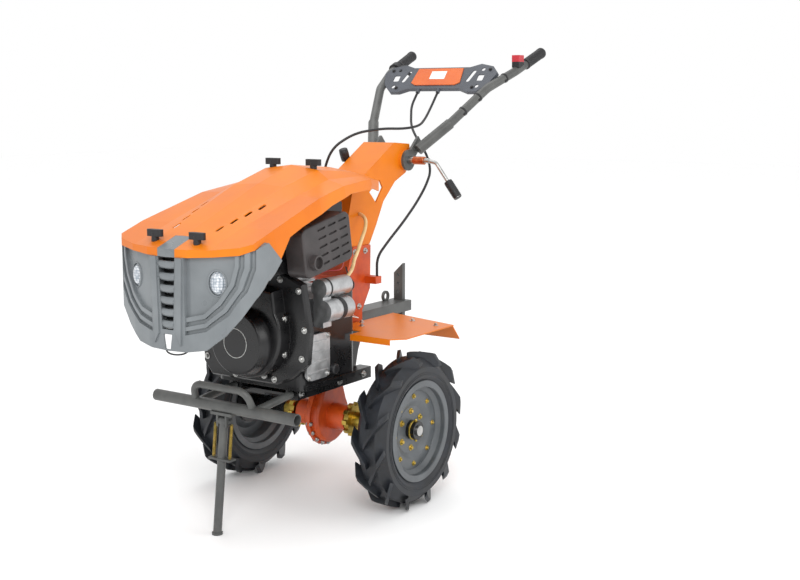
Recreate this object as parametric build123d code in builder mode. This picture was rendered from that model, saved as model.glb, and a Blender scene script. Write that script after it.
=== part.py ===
from build123d import *
import math
import os

os.makedirs("parts", exist_ok=True)

# Walking tractor, in millimetres. +Z is up and the wheels stand on Z = 0.
# The machine's front looks along -Y and the operator's left hand is +X.
# Lengths "from the axle" are measured back from the axle line.

# Layout
front_reach = 668  # axle to the nose of the mask
rear_reach = 878  # axle to the ends of the grips
axle_y = (front_reach - rear_reach) / 2
axle_z = 230
track = 604
wheel_x = track / 2

# Tyre 4.00-10
lug_tip_r = 230
carcass_r = 213
tyre_width = 104
bead_r = 133
lug_count = 12
lug_width = 17
lug_rake = 24  # how far a lug's outer end trails its inner end, in degrees

# Rim, hub and axle
rim_flange_r = 149
rim_sheet = 3
disc_offset = 4
hub_r = 27
hub_inner_x = 150
hub_outer_x = 336
shaft_r = 15
shaft_running_gap = 0.05
drive_flange_r = 52
drive_flange_x = 96
drive_flange_t = 16
drive_flange_teeth = 10

# Front bumper and stand
bumper_r = 16.5
bumper_wall = 2.5
bumper_length = 512
bumper_y = -461
bumper_z = 352
hoop_r = 10
arm_r = 11
leg_r = 12
foot_y = -500
stand_pin_y = -461
stand_pin_z = 312
stand_pin_r = 6
stand_pin_gap = 0.08
stand_fork_width = 76
spring_spacing = 58
spring_r = 5

# Engine
bed_top = 386
rail_x = 104
rail_width = 42
rail_height = 34
crank_x0, crank_x1 = -150, 158
crank_y0, crank_y1 = -322, -62
crank_top = 640
shroud_depth = 62
shroud_base = 22
volute_r = 132
shroud_bosses = 5
recoil_r = 98
recoil_depth = 38
fan_x, fan_z = 10, 524

# Hood and mask
hood_wall = 3
mask_wall = 4
lamp_x, lamp_y, lamp_z = 140, -626, 727
lamp_w, lamp_h = 46, 62
grille_half = 30
fin_count = 6
vent_count = 4
vent_x0, vent_y0 = 76, -545
vent_pitch_x, vent_pitch_y = 9, 46
vent_length, vent_width = 30, 9

# Transmission and neck
neck_half = 58
neck_sheet = 5
pivot_y = 344
pivot_z = 995
pivot_bolt_r = 8
pivot_bolt_gap = 0.08
disc_r = 33
disc_t = 9
disc_gap = 0.4
case_r = 92

# Handlebar
tube_r = 14.5
sleeve_r = 17.5
grip_r = 18.5
grip_length = 112
console_y, console_z = 645, 1250
console_tilt = 50
console_sheet = 4

# Fenders and hitch
fender_z = 512
fender_sheet = 3
fender_outer_x = 340
fender_inner_x = 70
fender_front_y, fender_rear_y = -105, 188
drag_y = 402
drag_width, drag_thick = 34, 16
tow_eye_x, tow_eye_r = -26, 18


def row_point(x, y, z):
    """A point of the machine, its y counted back from the axle."""
    return (x, axle_y + y, z)


def side_plane(x):
    """Upright lengthwise plane: sketch x runs back from the axle, sketch y up."""
    return Plane(origin=(x, axle_y, 0), x_dir=(0, 1, 0), z_dir=(1, 0, 0))


def cross_plane(y):
    """Upright crosswise plane: sketch x is X, sketch y is up, extruding goes forward."""
    return Plane(origin=(0, axle_y + y, 0), x_dir=(1, 0, 0), z_dir=(0, -1, 0))


def level_plane(z):
    """Level plane: sketch x is X, sketch y runs back from the axle."""
    return Plane(origin=(0, axle_y, z), x_dir=(1, 0, 0), z_dir=(0, 0, 1))


def bent_bar(points, radius, bend=0):
    """Round bar along straight runs joined by arcs."""
    with BuildPart() as bar:
        with BuildLine() as run:
            if len(points) > 2:
                FilletPolyline(*[row_point(*p) for p in points], radius=bend)
            else:
                Line(row_point(*points[0]), row_point(*points[1]))
        with BuildSketch(Plane(origin=run.line @ 0, z_dir=run.line % 0)):
            Circle(radius)
        sweep(path=run.line)
    return bar.part


def side_slab(points, x0, x1):
    """Prism across the machine with a side-view outline."""
    with BuildPart() as slab:
        with BuildSketch(side_plane(x0)):
            Polygon(*points, align=None)
        extrude(amount=x1 - x0)
    return slab.part


def finish(piece, name):
    """Label a finished piece and write it."""
    piece.part.label = name
    export_step(piece.part, "parts/" + name + ".step")


def finish_mirrored(piece, name):
    """Write the other side's copy of a piece."""
    with BuildPart() as copy:
        add(mirror(piece.part, about=Plane.YZ))
    finish(copy, name)


# Wheels. The tyre is a carcass of revolution with two staggered rings of
# slanting lugs, cut from straight bars by the tyre's outer envelope.
half_tread = tyre_width / 2
rim_half = half_tread - 10
wheel_axis = Axis((0, axle_y, axle_z), (1, 0, 0))
wheel_plane = Plane(origin=(wheel_x, axle_y, axle_z), x_dir=(1, 0, 0), z_dir=(0, -1, 0))
axle_plane = Plane(origin=(0, axle_y, axle_z), x_dir=(0, 1, 0), z_dir=(1, 0, 0))


def turned(points):
    """Solid of revolution on the left wheel's axis; each point is (outward, radius)."""
    with BuildPart() as ring:
        with BuildSketch(wheel_plane):
            Polygon(*points, align=None)
        revolve(axis=wheel_axis)
    return ring.part


def lug_bar(side, turn):
    """Straight slanting bar from the crown out past the shoulder."""
    run_out = math.radians(lug_rake) * carcass_r
    with BuildPart() as bar:
        with BuildSketch(
            Plane(origin=(wheel_x, axle_y, axle_z + carcass_r - 34), x_dir=(1, 0, 0))
        ):
            Polygon(
                (-2 * side, -lug_width / 2),
                (side * (half_tread + 1), run_out - lug_width / 2),
                (side * (half_tread + 1), run_out + lug_width / 2),
                (-2 * side, lug_width / 2),
                align=None,
            )
        extrude(amount=lug_tip_r - carcass_r + 38)
    return bar.part.rotate(wheel_axis, turn)


carcass = turned(
    [
        (-rim_half + 0.3, bead_r),
        (-rim_half + 0.3, rim_flange_r + 2),
        (-half_tread + 2, rim_flange_r + 14),
        (-half_tread + 2, carcass_r - 24),
        (-half_tread + 26, carcass_r),
        (half_tread - 26, carcass_r),
        (half_tread - 2, carcass_r - 24),
        (half_tread - 2, rim_flange_r + 14),
        (rim_half - 0.3, rim_flange_r + 2),
        (rim_half - 0.3, bead_r),
    ]
)
lug_envelope = turned(
    [
        (-half_tread, carcass_r - 38),
        (-half_tread, carcass_r - 6),
        (-half_tread + 10, lug_tip_r),
        (half_tread - 10, lug_tip_r),
        (half_tread, carcass_r - 6),
        (half_tread, carcass_r - 38),
    ]
)
lug_pitch = 360 / lug_count
lug_bars = [
    lug_bar(side, (index + stagger) * lug_pitch)
    for index in range(lug_count)
    for side, stagger in ((1, 0), (-1, 0.5))
]
with BuildPart() as tyre_left:
    add(lug_bars)
    add(lug_envelope, mode=Mode.INTERSECT)
    add(carcass)
finish(tyre_left, "tyre_left")
finish_mirrored(tyre_left, "tyre_right")

# Rim: rolled flanges and drop barrel from one sheet, with a dished disc.
with BuildPart() as rim_left:
    with BuildSketch(wheel_plane):
        with BuildLine():
            Polyline(
                (-rim_half, rim_flange_r),
                (-rim_half, bead_r - 0.3),
                (-rim_half + 14, bead_r - 0.3),
                (-rim_half + 24, bead_r - 14),
                (rim_half - 24, bead_r - 14),
                (rim_half - 14, bead_r - 0.3),
                (rim_half, bead_r - 0.3),
                (rim_half, rim_flange_r),
            )
            offset(amount=rim_sheet, side=Side.RIGHT)
        make_face()
        Polygon(
            (disc_offset, hub_r + 0.3),
            (disc_offset, hub_r + 44),
            (disc_offset + 10, hub_r + 62),
            (disc_offset + 10, bead_r - 15),
            (disc_offset + 10 + rim_sheet, bead_r - 15),
            (disc_offset + 10 + rim_sheet, hub_r + 60),
            (disc_offset + rim_sheet, hub_r + 42),
            (disc_offset + rim_sheet, hub_r + 0.3),
            align=None,
        )
    revolve(axis=wheel_axis)
finish(rim_left, "rim_left")
finish_mirrored(rim_left, "rim_right")

# Hub: a tube on the axle with a bolting flange seated on the disc's inner face.
hub_flange_x = wheel_x + disc_offset
with BuildPart() as hub_left:
    with BuildSketch(axle_plane.offset(hub_inner_x)):
        Circle(hub_r)
    extrude(amount=hub_outer_x - hub_inner_x)
    with BuildSketch(axle_plane.offset(hub_flange_x - 6)):
        Circle(hub_r + 40)
    extrude(amount=6)
    with BuildSketch(axle_plane.offset(hub_inner_x)):
        Circle(shaft_r + shaft_running_gap)
    extrude(amount=hub_outer_x - hub_inner_x, mode=Mode.SUBTRACT)
finish(hub_left, "hub_left")
finish_mirrored(hub_left, "hub_right")

# Drive flange: a toothed ring that locks the hub to the axle's end.
with BuildPart() as drive_flange_left:
    with BuildSketch(axle_plane.offset(drive_flange_x)):
        Circle(drive_flange_r - 9)
        with PolarLocations(drive_flange_r - 9, drive_flange_teeth):
            Rectangle(18, 13)
    extrude(amount=drive_flange_t)
    with BuildSketch(axle_plane.offset(drive_flange_x + drive_flange_t)):
        Circle(hub_r - 3)
    extrude(amount=hub_inner_x - drive_flange_x - drive_flange_t)
    with BuildSketch(axle_plane.offset(drive_flange_x)):
        Circle(shaft_r + shaft_running_gap)
    extrude(amount=hub_inner_x - drive_flange_x, mode=Mode.SUBTRACT)
finish(drive_flange_left, "drive_flange_left")
finish_mirrored(drive_flange_left, "drive_flange_right")

# Axle through the final drive, out to both hubs' outer ends.
with BuildPart() as axle_shaft:
    with BuildSketch(axle_plane.offset(-hub_outer_x - 6)):
        Circle(shaft_r)
    extrude(amount=2 * hub_outer_x + 12)
finish(axle_shaft, "axle_shaft")

# Final drive: a slender split casting, round below and drawn up into a leg.
leg_top = bed_top - rail_height
boss_x = drive_flange_x - 6
case_half = 27
with BuildPart() as drive_case:
    with BuildSketch(axle_plane.offset(-case_half)):
        Circle(case_r - 10)
        Polygon(
            (-case_r + 24, 42),
            (-30, leg_top - axle_z),
            (44, leg_top - axle_z),
            (case_r - 22, 42),
            align=None,
        )
    extrude(amount=2 * case_half)
    chamfer(drive_case.edges().filter_by(Plane.YZ), 7)
    with BuildSketch(axle_plane.offset(-5)):
        Circle(case_r)
        Polygon(
            (-case_r + 12, 44),
            (-38, leg_top - axle_z),
            (52, leg_top - axle_z),
            (case_r - 10, 44),
            align=None,
        )
    extrude(amount=10)
    with BuildSketch(axle_plane.offset(-boss_x)):
        Circle(40)
    extrude(amount=2 * boss_x)
    with BuildSketch(axle_plane.offset(-boss_x)):
        Circle(shaft_r + shaft_running_gap)
    extrude(amount=2 * boss_x, mode=Mode.SUBTRACT)
finish(drive_case, "drive_case")

# Gearbox: cast housing behind the engine, with a flange against the crankcase.
gearbox_half = 62
cable_stop_x, cable_stop_y, cable_stop_z = 94, 138, 650
gearbox_rear = 104
with BuildPart() as gearbox:
    with BuildSketch(side_plane(-gearbox_half)):
        Polygon(
            (crank_y1 + 14, 655),
            (crank_y1 + 14, 440),
            (-30, leg_top),
            (44, leg_top),
            (gearbox_rear, 470),
            (gearbox_rear, 545),
            (146, 610),
            (150, 745),
            (60, 745),
            (20, 655),
            align=None,
        )
    extrude(amount=2 * gearbox_half)
    fillet(gearbox.edges().filter_by(Axis.X), 6)
    with BuildSketch(cross_plane(crank_y1 + 14)):
        with Locations((0, 545)):
            RectangleRounded(190, 200, 40)
    extrude(amount=14)
    for side in (1, -1):
        with BuildSketch(level_plane(cable_stop_z - 22)):
            with Locations((side * (cable_stop_x + gearbox_half) / 2, cable_stop_y - 6)):
                Rectangle(cable_stop_x - gearbox_half + 20, 30)
        extrude(amount=22)
finish(gearbox, "gearbox")

# Neck: a folded sheet box from the gearbox up to the handlebar's pivot, open
# behind, with a window in each cheek and a serrated boss at the pivot.
neck_outline = [
    (60, 745.3),
    (30, 800),
    (60, 905),
    (109, 950),
    (285, 1052),
    (372, 1046),
    (382, 990),
    (350, 955),
    (290, 930),
    (226, 872),
    (186, 801),
    (150, 745.3),
]
with BuildPart() as neck:
    with BuildSketch(side_plane(-neck_half)):
        Polygon(*neck_outline, align=None)
    extrude(amount=2 * neck_half)
    fillet(neck.edges().filter_by(Axis.X).group_by(Axis.Z)[-1], 12)
    with BuildSketch(side_plane(-neck_half + neck_sheet)):
        Polygon(
            (60 + neck_sheet, 700),
            (30 + neck_sheet, 799),
            (64, 901),
            (112, 946),
            (286, 1047),
            (400, 1041),
            (400, 900),
            (260, 700),
            align=None,
        )
    extrude(amount=2 * (neck_half - neck_sheet), mode=Mode.SUBTRACT)
    with BuildSketch(side_plane(-neck_half)):
        Polygon((150, 905), (205, 940), (222, 915), (185, 870), align=None)
    extrude(amount=2 * neck_half, mode=Mode.SUBTRACT)
    pivot_plane = Plane(
        origin=(0, axle_y + pivot_y, pivot_z), x_dir=(0, 1, 0), z_dir=(1, 0, 0)
    )
    with BuildSketch(pivot_plane.offset(-neck_half - disc_t)):
        Circle(disc_r)
    extrude(amount=disc_t)
    with BuildSketch(pivot_plane.offset(neck_half)):
        Circle(disc_r)
    extrude(amount=disc_t)
    with BuildSketch(pivot_plane.offset(-neck_half - disc_t)):
        Circle(pivot_bolt_r + pivot_bolt_gap)
    extrude(amount=2 * (neck_half + disc_t), mode=Mode.SUBTRACT)
finish(neck, "neck")

# Handlebar: a serrated clamp disc each side carries a sleeve, and the sleeve
# holds the tube that runs out, back and up to the grip.
clamp_x = neck_half + disc_t + disc_gap
tube_points = [
    (clamp_x + disc_t + sleeve_r - 6, pivot_y + 34, pivot_z + 32),
    (150, 470, 1109),
    (212, 600, 1222),
    (250, 720, 1278),
    (263, rear_reach, 1343),
]
with BuildPart() as tube_left:
    add(bent_bar(tube_points, tube_r, 90))
    add(bent_bar(tube_points[:2], sleeve_r))
    with BuildSketch(pivot_plane.offset(clamp_x)):
        Circle(disc_r)
        with Locations((30, 28)):
            Rectangle(100, 34, rotation=43)
    extrude(amount=disc_t)
    with BuildSketch(pivot_plane.offset(clamp_x)):
        Circle(pivot_bolt_r)
    extrude(amount=disc_t, mode=Mode.SUBTRACT)
finish(tube_left, "tube_left")

# Right hand side of the handlebar.
finish_mirrored(tube_left, "tube_right")

# Grips: ribbed rubber sleeves pushed over the ends of both tubes.
tube_end = Vector(*row_point(*tube_points[-1]))
tube_aim = (tube_end - Vector(*row_point(*tube_points[-2]))).normalized()
grip_plane = Plane(origin=tube_end - tube_aim * (grip_length - 4), z_dir=tube_aim)
with BuildPart() as grip_left:
    with BuildSketch(grip_plane):
        Circle(grip_r)
    extrude(amount=grip_length)
    chamfer(grip_left.edges().group_by(SortBy.DISTANCE)[-1], 3)
    with BuildSketch(grip_plane):
        Circle(tube_r)
    extrude(amount=grip_length - 4, mode=Mode.SUBTRACT)
finish(grip_left, "grip_left")
finish_mirrored(grip_left, "grip_right")

# Pivot bolt through both clamps and the neck, with a spacer and a cranked lever.
lever_bend = (177, pivot_y, pivot_z - 6)
lever_tip = (254, pivot_y, pivot_z - 106)
bolt_reach = clamp_x + disc_t
with BuildPart() as clamp_lever:
    with BuildSketch(pivot_plane.offset(-bolt_reach - 14)):
        Circle(pivot_bolt_r)
    extrude(amount=2 * bolt_reach + 90)
    with BuildSketch(pivot_plane.offset(-bolt_reach - 12)):
        RegularPolygon(14, 6)
    extrude(amount=12)
    with BuildSketch(pivot_plane.offset(bolt_reach)):
        Circle(12)
    extrude(amount=48)
    add(
        bent_bar(
            [(bolt_reach + 70, pivot_y, pivot_z), lever_bend, lever_tip], 6, 18
        )
    )
    add(
        bent_bar(
            [(221, pivot_y, pivot_z - 63), (254 + 4, pivot_y, pivot_z - 106 - 5)], 13
        )
    )
finish(clamp_lever, "clamp_lever")

# Console: a sloping moulded plate between the tubes, with a coloured insert.
console_plane = Plane(
    origin=row_point(0, console_y, console_z),
    x_dir=(1, 0, 0),
    z_dir=(
        0,
        -math.sin(math.radians(console_tilt)),
        math.cos(math.radians(console_tilt)),
    ),
)
console_half = 205
console_depth = 14
gland_r, gland_length = 7, 12
cable_glands = (-60, 20)


def gland_plane(x):
    """Plane on the console's lower edge, facing down along the console."""
    edge = console_plane.from_local_coords((x, -48, console_depth / 2))
    return Plane(origin=edge, x_dir=(1, 0, 0), z_dir=-console_plane.y_dir)


console_outline = [
    (-console_half, -30),
    (-170, -62),
    (-135, -62),
    (-100, -48),
    (100, -48),
    (135, -62),
    (170, -62),
    (console_half, -30),
    (console_half + 18, 20),
    (console_half - 6, 46),
    (150, 58),
    (110, 44),
    (-110, 44),
    (-150, 58),
    (-console_half + 6, 46),
    (-console_half - 18, 20),
]
with BuildPart() as console:
    with BuildSketch(console_plane):
        Polygon(*console_outline, align=None)
    extrude(amount=console_depth)
    with BuildSketch(console_plane):
        with BuildLine():
            Polyline(*console_outline, close=True)
            offset(amount=-console_sheet, kind=Kind.INTERSECTION, mode=Mode.REPLACE)
        make_face()
    extrude(amount=console_depth - console_sheet, mode=Mode.SUBTRACT)
    with BuildSketch(console_plane):
        with Locations((-128, 6), (128, 6)):
            SlotOverall(52, 15, rotation=72)
        with Locations((-165, -38), (165, -38), (-165, 34), (165, 34)):
            Circle(7)
        with Locations((-166, -2), (166, -2)):
            RectangleRounded(24, 26, 5)
    extrude(amount=console_depth, mode=Mode.SUBTRACT)
    tube_seat = bent_bar(tube_points, tube_r + 0.3, 90)
    add(tube_seat, mode=Mode.SUBTRACT)
    add(mirror(tube_seat, about=Plane.YZ), mode=Mode.SUBTRACT)
    for x in cable_glands:
        with BuildSketch(gland_plane(x)):
            Circle(gland_r)
        extrude(amount=gland_length)
finish(console, "console")

with BuildPart() as console_insert:
    with BuildSketch(console_plane.offset(console_depth)):
        Polygon(
            (-88, 38), (-96, -24), (-78, -34), (-60, -34), (60, -34), (78, -34),
            (96, -24), (88, 38),
            align=None,
        )
    extrude(amount=3)
finish(console_insert, "console_insert")

# Front bumper: a straight tube with open ends, a hoop over it, and two arms
# that run back to the engine bed.
bumper_plane = Plane(
    origin=row_point(-bumper_length / 2, bumper_y, bumper_z),
    x_dir=(0, 1, 0),
    z_dir=(1, 0, 0),
)
arm_end_y = -296
with BuildPart() as bumper:
    with BuildSketch(bumper_plane):
        Circle(bumper_r)
    extrude(amount=bumper_length)
    add(
        bent_bar(
            [
                (-104, bumper_y, bumper_z + 6),
                (-96, bumper_y - 18, bumper_z + 58),
                (96, bumper_y - 18, bumper_z + 58),
                (104, bumper_y, bumper_z + 6),
            ],
            hoop_r,
            34,
        )
    )
    for side in (1, -1):
        add(
            bent_bar(
                [
                    (side * rail_x, bumper_y + 6, bumper_z),
                    (side * rail_x, arm_end_y - 2, bed_top - rail_height / 2),
                ],
                arm_r,
            )
        )
    with BuildSketch(bumper_plane):
        Circle(bumper_r - bumper_wall)
    extrude(amount=bumper_length, mode=Mode.SUBTRACT)
finish(bumper, "bumper")

# Engine bed: two channel rails joined by a plate, on the final drive's leg.
with BuildPart() as engine_bed:
    for side in (1, -1):
        with BuildSketch(cross_plane(60)):
            with Locations((side * rail_x, bed_top - rail_height / 2)):
                Rectangle(rail_width, rail_height)
        extrude(amount=60 - arm_end_y)
    with BuildSketch(level_plane(bed_top - rail_height)):
        with Locations((0, -240), (0, -90)):
            Rectangle(2 * rail_x, 60)
    extrude(amount=8)
    with BuildSketch(cross_plane(60)):
        with Locations(
            (rail_x, bed_top - rail_height / 2 - 5),
            (-rail_x, bed_top - rail_height / 2 - 5),
        ):
            Rectangle(rail_width - 10, rail_height - 5)
    extrude(amount=60 - arm_end_y - 40, mode=Mode.SUBTRACT)
finish(engine_bed, "engine_bed")

# Stand: a fork under the bumper holds the pin that the leg swings on.
fork_gap = 2 * leg_r + 1
with BuildPart() as stand_fork:
    with BuildSketch(level_plane(stand_pin_z + 18)):
        with Locations((0, stand_pin_y)):
            Rectangle(stand_fork_width, 30)
    extrude(amount=bumper_z - bumper_r - stand_pin_z - 18 + 3)
    for side in (1, -1):
        with BuildSketch(side_plane(side * (fork_gap / 2 + 3) - 3)):
            with Locations((stand_pin_y, stand_pin_z + 3)):
                Rectangle(26, 34)
        extrude(amount=6)
    with BuildSketch(side_plane(-fork_gap / 2 - 12)):
        with Locations((stand_pin_y, stand_pin_z)):
            Circle(stand_pin_r)
    extrude(amount=fork_gap + 24)
    with BuildSketch(bumper_plane):
        Circle(bumper_r)
    extrude(amount=bumper_length, mode=Mode.SUBTRACT)
finish(stand_fork, "stand_fork")

with BuildPart() as stand_leg:
    add(
        bent_bar(
            [(0, stand_pin_y - 1, stand_pin_z + 2), (0, foot_y, 4)], leg_r
        )
    )
    with BuildSketch(level_plane(0)):
        with Locations((0, foot_y)):
            Circle(leg_r + 3)
    extrude(amount=6)
    with BuildSketch(side_plane(-leg_r)):
        with Locations((stand_pin_y, stand_pin_z)):
            Circle(leg_r + 1)
    extrude(amount=2 * leg_r)
    with BuildSketch(level_plane(stand_pin_z - 106)):
        with Locations((0, stand_pin_y - 13)):
            Rectangle(stand_fork_width, 28)
    extrude(amount=6)
    with BuildSketch(side_plane(-leg_r - 2)):
        with Locations((stand_pin_y, stand_pin_z)):
            Circle(stand_pin_r + stand_pin_gap)
    extrude(amount=2 * leg_r + 4, mode=Mode.SUBTRACT)
finish(stand_leg, "stand_leg")

# Engine: crankcase, finned cylinder with its head cover, shroud and recoil
# starter in front, muffler and starter motor on the left.
with BuildPart() as crankcase:
    with BuildSketch(level_plane(bed_top)):
        with Locations(((crank_x0 + crank_x1) / 2, (crank_y0 + crank_y1) / 2)):
            RectangleRounded(crank_x1 - crank_x0, crank_y1 - crank_y0, 24)
    extrude(amount=crank_top - bed_top)
    with BuildSketch(level_plane(bed_top)):
        with Locations(((crank_x0 + crank_x1) / 2, (crank_y0 + crank_y1) / 2)):
            Rectangle(crank_x1 - crank_x0 + 16, crank_y1 - crank_y0 - 30)
    extrude(amount=14)
    with BuildSketch(cross_plane(crank_y1)):
        with Locations((0, 545)):
            RectangleRounded(190, 190, 40)
    extrude(amount=10)
finish(crankcase, "crankcase")

head_x, head_y = -20, -200
head_top = crank_top + 154
with BuildPart() as cylinder_head:
    with BuildSketch(level_plane(crank_top)):
        with Locations((head_x, head_y)):
            RectangleRounded(120, 130, 12)
    extrude(amount=120)
    fin_levels = [crank_top + 12 + 13 * step for step in range(7)]
    for level in fin_levels:
        with BuildSketch(level_plane(level)):
            with Locations((head_x, head_y)):
                RectangleRounded(156, 170, 14)
        extrude(amount=4)
    with BuildSketch(level_plane(crank_top + 120)):
        with Locations((head_x, head_y)):
            RectangleRounded(110, 120, 20)
    extrude(amount=head_top - crank_top - 120)
finish(cylinder_head, "cylinder_head")

shroud_outline = [
    (-150, 402),
    (-182, 440),
    (-182, 640),
    (-140, 712),
    (120, 716),
    (184, 690),
    (206, 560),
    (196, 470),
    (150, 428),
    (90, 402),
]
with BuildPart() as fan_shroud:
    with BuildSketch(cross_plane(crank_y0)):
        Polygon(*shroud_outline, align=None)
    extrude(amount=shroud_base)
    chamfer(fan_shroud.faces().sort_by(Axis.Y)[0].edges(), 5)
    with BuildSketch(cross_plane(crank_y0 - shroud_base + 6)):
        with Locations((fan_x, fan_z + 22)):
            Circle(volute_r)
        Polygon(
            (fan_x + volute_r - 10, fan_z + 30), (fan_x + volute_r - 26, fan_z + 150),
            (fan_x - 70, fan_z + 168), (fan_x - volute_r + 6, fan_z + 60), align=None,
        )
    extrude(amount=shroud_depth - shroud_base + 6, taper=8)
    fillet(fan_shroud.faces().sort_by(Axis.Y)[0].edges(), 7)
    with BuildSketch(cross_plane(crank_y0 - shroud_base + 6)):
        with Locations((fan_x, fan_z + 22)):
            with PolarLocations(volute_r - 6, shroud_bosses, start_angle=-70, angular_range=230):
                Circle(14)
    extrude(amount=16)
finish(fan_shroud, "fan_shroud")

fan_front = crank_y0 - shroud_depth
with BuildPart() as recoil_starter:
    with BuildSketch(cross_plane(fan_front)):
        with Locations((fan_x, fan_z)):
            Circle(recoil_r)
    extrude(amount=recoil_depth, taper=14)
    fillet(recoil_starter.edges().group_by(Axis.Y)[0], 6)
finish(recoil_starter, "recoil_starter")

muffler_x0, muffler_x1 = 152, 215
muffler_outline = [(-380, 842), (-170, 882), (-148, 745), (-361, 706)]
with BuildPart() as muffler:
    with BuildSketch(side_plane(muffler_x0)):
        Polygon(*muffler_outline, align=None)
    extrude(amount=muffler_x1 - muffler_x0)
    fillet(muffler.edges().filter_by(Axis.X), 22)
    fillet(muffler.faces().sort_by(Axis.X)[-1].edges(), 6)
    slot_plane = Plane(
        origin=row_point(muffler_x1, -240, 802), x_dir=(0, 0.98, 0.2), z_dir=(1, 0, 0)
    )
    with BuildSketch(slot_plane):
        with GridLocations(48, 24, 3, 5):
            SlotOverall(36, 6)
    extrude(amount=-5, mode=Mode.SUBTRACT)
    with BuildSketch(side_plane(muffler_x1 - 4)):
        with Locations((-330, 752)):
            Circle(21)
    extrude(amount=22)
    with BuildSketch(side_plane(muffler_x1 + 6)):
        with Locations((-330, 752)):
            Circle(16)
    extrude(amount=12, mode=Mode.SUBTRACT)
    with BuildSketch(side_plane(head_x + 60)):
        with Locations((head_y, crank_top + 116)):
            Circle(18)
    extrude(amount=muffler_x0 - head_x - 60)
finish(muffler, "muffler")

with BuildPart() as fuel_tank:
    with BuildSketch(side_plane(-150)):
        Polygon(
            (-420, 720), (-420, 800), (-385, 850), (-300, 886), (-110, 902), (-110, 832),
            (-280, 822), (-300, 722),
            align=None,
        )
    extrude(amount=296)
    fillet(fuel_tank.edges().filter_by(Axis.X), 10)
    with BuildSketch(level_plane(head_top)):
        with Locations((head_x - 32, head_y), (head_x + 32, head_y)):
            Rectangle(18, 80)
    extrude(amount=38)
finish(fuel_tank, "fuel_tank")

with BuildPart() as air_cleaner:
    with BuildSketch(level_plane(crank_top + 56)):
        with Locations((-168, -190)):
            Circle(56)
    extrude(amount=120)
    fillet(air_cleaner.edges().group_by(Axis.Z)[-1], 10)
    with BuildSketch(side_plane(-115)):
        with Locations((-190, crank_top + 135)):
            Circle(13)
    extrude(amount=115 + head_x - 55)
finish(air_cleaner, "air_cleaner")

with BuildPart() as starter_motor:
    with BuildSketch(cross_plane(-140)):
        with Locations((178, 668)):
            Circle(27)
    extrude(amount=122)
    with BuildSketch(cross_plane(-150)):
        with Locations((190, 606)):
            Circle(31)
    extrude(amount=112)
    with BuildSketch(side_plane(crank_x1)):
        Polygon((-262, 560), (-262, 690), (-225, 690), (-225, 560), align=None)
    extrude(amount=34)
finish(starter_motor, "starter_motor")

# Hood: creased shell lofted through five cross-sections, trimmed by its plan and
# side outlines. Mask: shell between the same plan outline and the chin.
half_plan = [
    (0, -668), (70, -662), (140, -645), (207, -620), (238, -590), (250, -556), (250, -505),
]
rear_plan = [(236, -400), (226, -240), (196, -90), (150, 40), (128, 100)]


def both_sides(half):
    """Close a half outline, given from the centre line outward, by its mirror image."""
    return half + [(-x, v) for x, v in reversed(half) if x > 0]


def plan_prism(inset, low, high):
    """Upright prism on the hood's plan outline."""
    with BuildPart() as prism:
        with BuildSketch(level_plane(low)):
            with BuildLine():
                Polyline(*both_sides(half_plan + rear_plan), close=True)
                if inset:
                    offset(amount=-inset, kind=Kind.INTERSECTION, mode=Mode.REPLACE)
            make_face()
        extrude(amount=high - low)
    return prism.part


hood_sections = [
    (-690, [(0, 800), (76, 799), (130, 796), (232, 794), (262, 700)]),
    (-515, [(0, 868), (78, 865), (130, 857), (232, 857), (258, 700)]),
    (-300, [(0, 955), (90, 948), (138, 926), (212, 922), (240, 800)]),
    (-156, [(0, 1000), (95, 988), (134, 962), (188, 946), (214, 850)]),
    (28, [(0, 985), (82, 974), (112, 962), (150, 955), (176, 850)]),
    (142, [(0, 958), (70, 953), (92, 948), (116, 938), (130, 850)]),
]


def hood_loft(drop):
    """Solid under the hood's creased top, lowered by a wall's thickness if wanted."""
    with BuildPart() as solid:
        for y, half in hood_sections:
            lowered = [(x, z - drop) for x, z in half] + [(half[-1][0], 600)]
            with BuildSketch(cross_plane(y)):
                Polygon(*both_sides(lowered), align=None)
        loft(ruled=True)
    return solid.part


hood_side = [
    (-690, 782),
    (-620, 800),
    (-556, 829),
    (-505, 779),
    (-452, 833),
    (-395, 853),
    (-240, 898),
    (-120, 922),
    (40, 925),
    (150, 905),
    (150, 1100),
    (-690, 1100),
]
tongue_half, tongue_y = grille_half, -598
with BuildPart() as tongue_space:
    with BuildSketch(level_plane(600)):
        with Locations((0, (tongue_y - 700) / 2)):
            Rectangle(2 * tongue_half, 700 + tongue_y)
    extrude(amount=500)

with BuildPart() as hood_shell:
    add(hood_loft(0))
    add(plan_prism(0, 600, 1100), mode=Mode.INTERSECT)
    add(side_slab(hood_side, -260, 260), mode=Mode.INTERSECT)
    add(hood_loft(hood_wall) & plan_prism(hood_wall, 600, 1100), mode=Mode.SUBTRACT)
    rear_mouth = side_slab([(80, 850), (160, 850), (160, 1100), (80, 1100)], -122, 122)
    add(hood_loft(hood_wall) & rear_mouth, mode=Mode.SUBTRACT)

with BuildPart() as hood:
    add(hood_shell.part)
    add(tongue_space.part, mode=Mode.SUBTRACT)
    with BuildSketch(level_plane(780)):
        for index in range(vent_count):
            vent_x = vent_x0 + index * vent_pitch_x
            vent_y = vent_y0 + index * vent_pitch_y
            with Locations((vent_x, vent_y), (-vent_x, vent_y)):
                SlotOverall(vent_length, vent_width, rotation=90)
    extrude(amount=300, mode=Mode.SUBTRACT)
finish(hood, "hood")

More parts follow.
